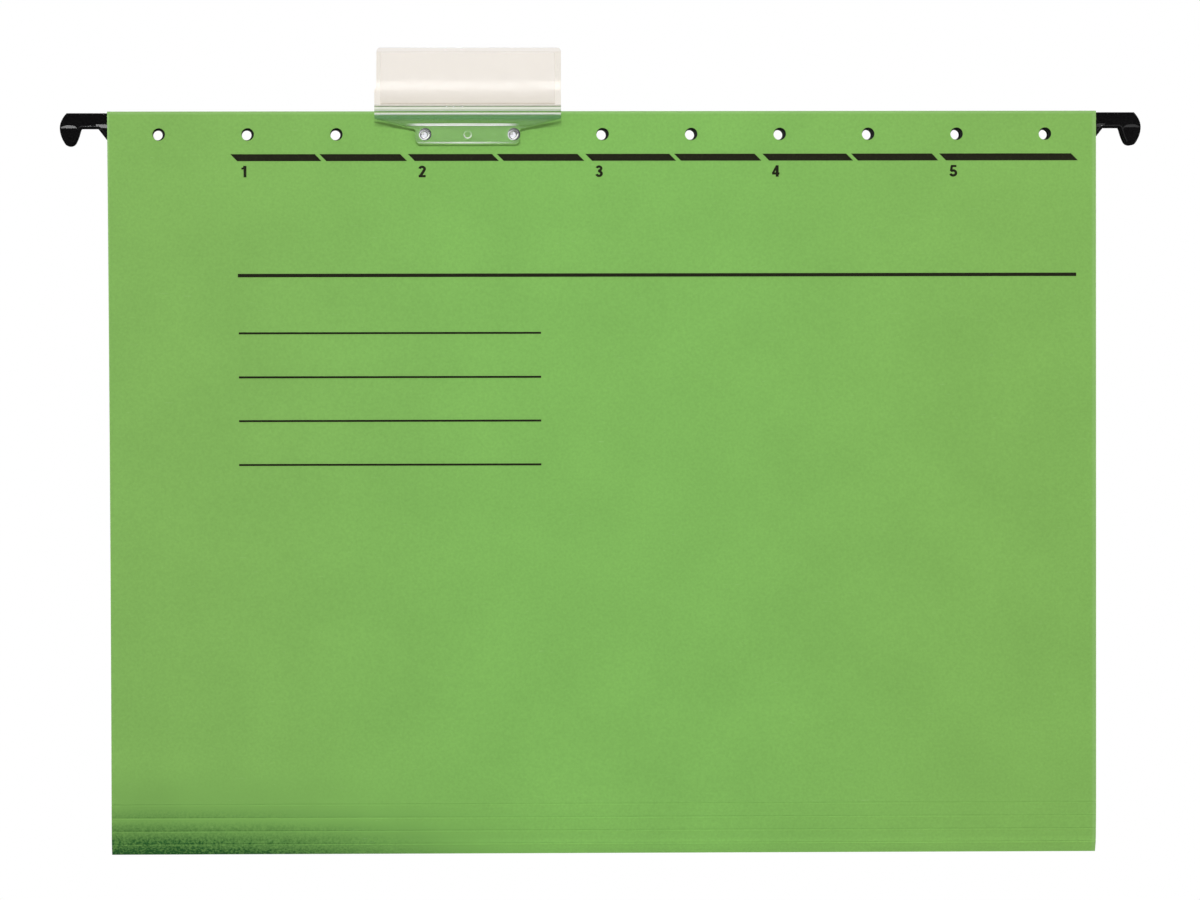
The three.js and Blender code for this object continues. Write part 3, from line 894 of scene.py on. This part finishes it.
def makeHook(end, side):
    slope = math.tan(math.radians(hook["shoulder"]))
    outer, outerSide, foot, inner = [curve(*knots) for knots in hook["nose"]]
    back, half = hook["back"], hook["halfThickness"]
    start = hook["notchInner"] - back
    web = [(hook["tangEnd"], hook["top"]), (hook["noseTop"], hook["top"])]
    web += outer + outerSide + foot + inner
    web += [(hook["noseInner"], back), (start, back),
            (start - (back - hook["bottom"]) / slope, hook["bottom"]),
            (hook["tangEnd"], hook["bottom"])]
    piece = softened(drawOut(web, [-half, half], alongY), hook["edge"])

    sides = [point - Vector((0.06 * mm, 0)) for point in outerSide]
    nose = curve(*hook["crown"]) + sides + foot + inner[:-1]
    combine(piece, makeThickPart(nose, hook["noseSlopeFoot"]), "UNION", "MANIFOLD")

    # The shoulder and the rim are thick only outside the card, whose edge isn't central
    cardEdge = sleeve["halfWidth"] + end * sleeve["shift"] + 0.1 * mm
    low = (cardEdge - hook["notchInner"]) * slope
    shoulder = [(cardEdge, low + 0.3 * mm), (hook["notchInner"], 0.2 * mm),
                (178.3 * mm, 1.95 * mm), (cardEdge, 1.3 * mm)]
    combine(piece, makeThickPart(shoulder, hook["shoulderSlopeFoot"]), "UNION", "MANIFOLD")
    notch = foot[-1:] + inner[:-1] + [(x * mm, z * mm) for x, z in hook["notchTop"]]
    notch.append((cardEdge, low))
    rimOutline = movedSideways(notch, 0.03 * mm) + movedSideways(notch, -hook["rimWidth"])[::-1]
    rim = softened(drawOut(rimOutline, [-hook["rimHalf"], hook["rimHalf"]], alongY), hook["edge"])
    finishWith(rim, "TRIANGULATE")
    combine(piece, rim, "UNION", "MANIFOLD")

    # Slot that grips the rail
    combine(piece, boxAt(*hook["slot"]), "DIFFERENCE", "MANIFOLD")

    for vertex in piece.data.vertices:
        vertex.co.x *= end
        vertex.co.y += side * rail["centre"]
    startEdit(piece)
    endEdit()
    return piece


for half, side in halves:
    for endName, end in (("Left", -1), ("Right", 1)):
        present(makeHook(end, side), half + "Hook" + endName, nylon,
                half + "_half", replaces=[half + "_hook_" + endName.lower()], flatWidth=0.6 * mm)
print("hooks moulded")


# Index tab: window with a label pocket, ledge, slope, tongue and two pins
tab = {
    "centre": moulding["centre"],
    "face": -4.7 * mm,  # the front cover's face
    "halfLength": 34 * mm,  # of the profile, before it is cut to the front outline
    "edge": 0.16 * mm,
    # Corners with their radii, in millimetres: forward of the face and up, then along and up
    "profile": (
        (0.3, -5.45, 0.3), (1.4, -5.45, 0.35), (1.4, 0.65, 0.7), (5.51, 5.45, 0.25),
        (5.51, 7.7, 0.3), (4.91, 7.7, 0.12), (4.91, 28.25, 0.3), (2.6, 28.25, 0.3),
        (2.6, 6.45, 0.4), (0.3, 1.75, 0.5)),
    "front": (
        (-32.8, 3.3, 0.5), (-32.8, 13.4, 0), (-32.1, 14.4, 0), (-32.0, 28.35, 1.5),
        (32.8, 28.35, 1.5), (32.8, 3.3, 0.5), (18.365, -0.25, 0.4), (18.365, -5.5, 2),
        (-18.365, -5.5, 2), (-18.365, -0.25, 0.4)),
    # Centre and size; it runs out at both ends
    "pocket": ((moulding["centre"], -8.455 * mm, 17.6 * mm), (80 * mm, 0.81 * mm, 18.5 * mm)),
    "pinX": (moulding["firstPin"], moulding["firstPin"] + moulding["pinPitch"]),
    "pinRadius": 1.5 * mm,
    "pinReach": 2.4 * mm,  # into the card, from its face
    "pinTip": 0.9 * mm,
    "dimple": (0.35 * mm, 0.8 * mm, 0.2 * mm),  # depth, and radii at its mouth and its floor
    "ringRadius": 0.2 * mm,
}


def coneAt(x, y, z, depth, wide, narrow):
    deselectAll()
    bpy.ops.mesh.primitive_cone_add(
        vertices=40, radius1=narrow, radius2=wide, depth=depth, location=(x, y, z),
        rotation=(math.radians(90), 0, 0))
    bpy.ops.object.transform_apply()
    return bpy.context.object


# A pin with a conical tip, from within the tongue into the card
def makePin(x):
    length = tab["pinReach"] + mm
    middle = tab["face"] - mm + length / 2
    pin = coneAt(x, middle, rail["holeZ"], length, tab["pinRadius"], tab["pinRadius"])
    startEdit(pin, "EDGE")
    pickEdges(pin, lambda point, edge: point.y > middle + length / 2 - 1e-6)
    bpy.ops.mesh.bevel(offset=tab["pinTip"], segments=3, affect="EDGES")
    endEdit()
    return pin


def makeTab():
    corners = [(tab["face"] - a * mm, b * mm, r * mm) for a, b, r in tab["profile"]]
    ends = [tab["centre"] - tab["halfLength"], tab["centre"] + tab["halfLength"]]
    body = drawOut(rounded(corners, 5), ends, alongX)
    corners = [(tab["centre"] + a * mm, b * mm, r * mm) for a, b, r in tab["front"]]
    combine(body, drawOut(rounded(corners, 8), [-12 * mm, -4 * mm], alongY), "INTERSECT")
    softened(body, tab["edge"], 60)
    combine(body, boxAt(*tab["pocket"]), "DIFFERENCE")
    for x in tab["pinX"]:
        combine(body, makePin(x), "UNION")
        dimple = coneAt(x - 0.5 * mm, tab["face"] - 1.275 * mm, rail["holeZ"] + 0.4 * mm,
                        *tab["dimple"])
        combine(body, dimple, "DIFFERENCE")
    deselectAll()
    bpy.ops.mesh.primitive_torus_add(
        location=(tab["centre"], tab["face"] - 1.4 * mm, moulding["markZ"]),
        rotation=(math.radians(90), 0, 0), major_radius=moulding["markRadius"],
        minor_radius=tab["ringRadius"], major_segments=40, minor_segments=10)
    combine(body, bpy.context.object, "UNION")
    return body


present(makeTab(), "indexTabMoulding", polystyrene, "tab", replaces=["index_tab"],
        flatWidth=0.6 * mm)


# Label: a paper strip that lies loose in the pocket and curls a little
label = {
    "halfWidth": 30.7 * mm,
    "bottom": 8.45 * mm,
    "top": 26.55 * mm,
    "centre": -8.455 * mm,
    "paper": 0.25 * mm,
    "curl": 0.1 * mm,
}


def makeLabel():
    low, high = label["bottom"], label["top"]
    outline = []
    for skin in (-0.5, 0.5):
        side = []
        for step in range(13):
            share = step / 12
            curl = label["curl"] * math.cos(math.pi * share)
            y = label["centre"] + skin * label["paper"] + curl
            side.append((y, low + share * (high - low)))
        outline += side if skin < 0 else side[::-1]
    start = tab["centre"] - label["halfWidth"]
    stops = [start + 2 * label["halfWidth"] * i / 12 for i in range(13)]
    return drawOut(outline, stops, alongX)


present(makeLabel(), "labelPaper", paper, "label", replaces=["label_insert"])
print("index tab and label made")


# Printing on the front cover: nine slanted bars, a rule, four writing lines and five numbers
printing = {
    "out": -4.735 * mm,
    "in": -4.69 * mm,
    "barTop": -9 * mm,
    "barHeight": 2.46 * mm,
    "firstBar": -129.4 * mm,
    "pairPitch": 62.44 * mm,
    "pair": ((0, 29.6 * mm), (31.3 * mm, 59.7 * mm)),
    "lastBar": 46.6 * mm,
    "rule": (-128.1 * mm, 167.6 * mm, -51.68 * mm, 1.22 * mm),
    "writingLines": (-72 * mm, -87.5 * mm, -102.9 * mm, -118.35 * mm),
    "lineEnds": (-127.8 * mm, -21.4 * mm),
    "lineHeight": 0.72 * mm,
    "numeralHeight": 4.05 * mm,
    "numeralStretch": 1.12,
    "numeralBottom": -17.15 * mm,
    "numeralLefts": (-126.8 * mm, -64.5 * mm, -2.2 * mm, 60.1 * mm, 122.7 * mm),
    "strokeHalf": 0.57,  # of a stroke's written width
}


def printStrip(x0, x1, low, high, slant=0.0):
    stops = [x0] + [x for x in columns if x0 + mm < x < x1 - mm] + [x1]
    within, out = printing["in"], printing["out"]
    strip = drawOut([(within, low), (out, low), (out, high), (within, high)], stops, alongX)
    for vertex in strip.data.vertices:
        if min(abs(vertex.co.x - x0), abs(vertex.co.x - x1)) < 1e-6:
            vertex.co.x += slant * ((low + high) / 2 - vertex.co.z)
    settle(strip, -1)
    return strip


def makeBars():
    high = printing["barTop"]
    low = high - printing["barHeight"]
    starts = [printing["firstBar"] + i * printing["pairPitch"] for i in range(5)]
    bars = [(start + x0, start + x1) for start in starts[:-1] for x0, x1 in printing["pair"]]
    bars.append((starts[-1], starts[-1] + printing["lastBar"]))
    return joinAll([printStrip(x0, x1, low, high, 1.0) for x0, x1 in bars])


def makeLines():
    rows = [(*printing["lineEnds"], z, printing["lineHeight"]) for z in printing["writingLines"]]
    return joinAll([printStrip(x0, x1, z - height / 2, z + height / 2)
                    for x0, x1, z, height in [printing["rule"]] + rows])


def arc(x, z, radius, start, end):
    angles = [math.radians(start + (end - start) * step / 12) for step in range(13)]
    return [(x + radius * math.cos(angle), z + radius * math.sin(angle)) for angle in angles]


# Bold upright numerals, each a few strokes with their widths, on a height of 1
numerals = [
    [(0.2, [(0.36, 0), (0.36, 1)]),
     (0.15, [(0.08, 0.755), (0.2, 0.775), (0.29, 0.845), (0.325, 1.0)])],
    [(0.19, arc(0.29, 0.71, 0.19, 172, -40) + [(0.14, 0.07)]),
     (0.18, [(0.02, 0.09), (0.565, 0.09)])],
    [(0.18, arc(0.285, 0.74, 0.17, 168, -100)), (0.19, arc(0.285, 0.29, 0.195, 100, -168)),
     (0.16, [(0.2, 0.53), (0.33, 0.53)])],
    [(0.15, [(0.385, 0.97), (0.07, 0.31)]), (0.17, [(0.0, 0.285), (0.58, 0.285)]),
     (0.2, [(0.4, 0), (0.4, 1)])],
    [(0.17, [(0.12, 0.915), (0.54, 0.915)]), (0.16, [(0.18, 0.95), (0.12, 0.46)]),
     (0.19, arc(0.285, 0.315, 0.22, 142, -165))],
]


def makeNumeral(strokes, left):
    outlines = []
    for width, path in strokes:
        half = printing["strokeHalf"] * width
        outlines.append(movedSideways(path, half) + movedSideways(path, -half)[::-1])
    least = min(point.x for outline in outlines for point in outline)
    height = printing["numeralHeight"]
    parts = []
    for outline in outlines:
        corners = [(left + (point.x - least) * height * printing["numeralStretch"],
                    printing["numeralBottom"] + point.y * height) for point in outline]
        parts.append(drawOut(corners, [printing["in"], printing["out"]], alongY))
    for other in parts[1:]:
        combine(parts[0], other, "UNION")
    return parts[0]


present(makeBars(), "printedBars", ink, "front_half")
present(makeLines(), "printedLines", ink, "front_half")
row = [makeNumeral(strokes, left) for strokes, left in zip(numerals, printing["numeralLefts"])]
present(joinAll(row), "printedNumbers", ink, "front_half")
print("printing laid on")


# Studio: a pale floor that fades out to white, soft lamps and a white surround
studio = {
    "floorZ": -0.4,
    "floorRadius": 1.3,
    "fadeStart": 0.45,
    "ambient": 0.264,
    "glossLow": 0.03,  # how bright the sides of the studio look in gloss; overhead is white
    # Name, place, target, width and height in metres, and watts
    "lamps": (
        ("key", (-0.7, -1.5, 1.0), (0, 0, -0.1), 1.2, 0.9, 2.4),
        ("sun", (-0.12, -1.5, 1.05), (0, 0, -0.1), 0.13, 0.13, 20),
        ("fill", (1.1, -1.6, 0.1), (0, 0, -0.1), 1.0, 1.0, 2.9),
        ("rear", (0.4, 1.6, 1.1), (0, 0, -0.1), 1.2, 0.9, 17),
        ("strip", (-0.029, -1.5, 0.0577), (tab["centre"], 0, 0.0151), 0.5, 0.0047, 0.015)),
}


# Masks of the rays that show the white background, and of glossy rays
def makeRayMasks(tree):
    rays = addNode(tree, "LightPath").node.outputs
    seen = addNode(tree, "Math", {
        0: rays["Is Camera Ray"], 1: rays["Is Transmission Ray"]}, operation="MAXIMUM")
    masks = []
    for ray, less in ((seen, "Diffuse Depth"), (rays["Is Glossy Ray"], "Is Transmission Ray")):
        inputs = {0: ray, 1: rays[less]}
        masks.append(addNode(tree, "Math", inputs, operation="SUBTRACT", use_clamp=True))
    return masks


# Matt paper that fades out to white, and looks dim in gloss
def makeFloorPaper(tree, place):
    away = addNode(tree, "VectorMath", {0: place}, operation="LENGTH", output="Value")
    fade = addNode(tree, "MapRange", {
        "Value": away, 1: studio["fadeStart"], 2: 0.97 * studio["floorRadius"]},
        interpolation_type="SMOOTHSTEP")
    grain = addNode(tree, "TexNoise", {"Vector": place, "Scale": 60.0})
    tone = addNode(tree, "MapRange", {"Value": grain, 1: 0.3, 2: 0.7, 3: 0.86, 4: 0.9})
    matt = addNode(tree, "BsdfDiffuse", {"Color": tone})
    seen, gloss = makeRayMasks(tree)
    white = addNode(tree, "Emission")
    white = addNode(tree, "MixShader", {"Fac": seen, 1: matt, 2: white})
    shader = addNode(tree, "MixShader", {"Fac": fade, 1: matt, 2: white})
    dim = addNode(tree, "Emission", {"Strength": studio["glossLow"]})
    return addNode(tree, "MixShader", {"Fac": gloss, 1: shader, 2: dim})


def makeFloor():
    deselectAll()
    bpy.ops.mesh.primitive_circle_add(
        vertices=96, radius=studio["floorRadius"], fill_type="NGON",
        location=(0, 0, studio["floorZ"]))
    floor = bpy.context.object
    floor.name = "studioFloor"
    floor.data.materials.append(makeMaterial("floor_paper", makeFloorPaper))


def makeWorld():
    world = bpy.data.worlds.new("studio")
    bpy.context.scene.world = world
    world.use_nodes = True
    tree = world.node_tree
    tree.nodes.clear()
    direction = addNode(tree, "TexCoord", output="Generated")
    height = addNode(tree, "SeparateXYZ", {"Vector": direction}, output="Z")
    overhead = addNode(tree, "MapRange", {
        "Value": height, 1: 0.25, 2: 0.6, 3: studio["glossLow"], 4: 1.0},
        interpolation_type="SMOOTHSTEP")
    seen, gloss = makeRayMasks(tree)
    lit = addNode(tree, "MapRange", {"Value": gloss, 3: studio["ambient"], 4: overhead})
    strength = addNode(tree, "MapRange", {"Value": seen, 3: lit, 4: 1.0})
    surround = addNode(tree, "Background", {"Color": (1, 1, 1, 1), "Strength": strength})
    addNode(tree, "OutputWorld", {"Surface": surround})


def addLamp(name, place, target, width, height, power):
    data = bpy.data.lights.new(name, "AREA")
    data.shape = "RECTANGLE"
    data.size, data.size_y = width, height
    data.energy = power
    lamp = bpy.data.objects.new(name, data)
    bpy.context.scene.collection.objects.link(lamp)
    lamp.location = place
    aim = Vector(target) - Vector(place)
    lamp.rotation_euler = aim.to_track_quat("-Z", "Y").to_euler()


makeFloor()
makeWorld()
for lamp in studio["lamps"]:
    addLamp(*lamp)
bpy.context.scene.view_settings.view_transform = "Standard"
print("studio lit")
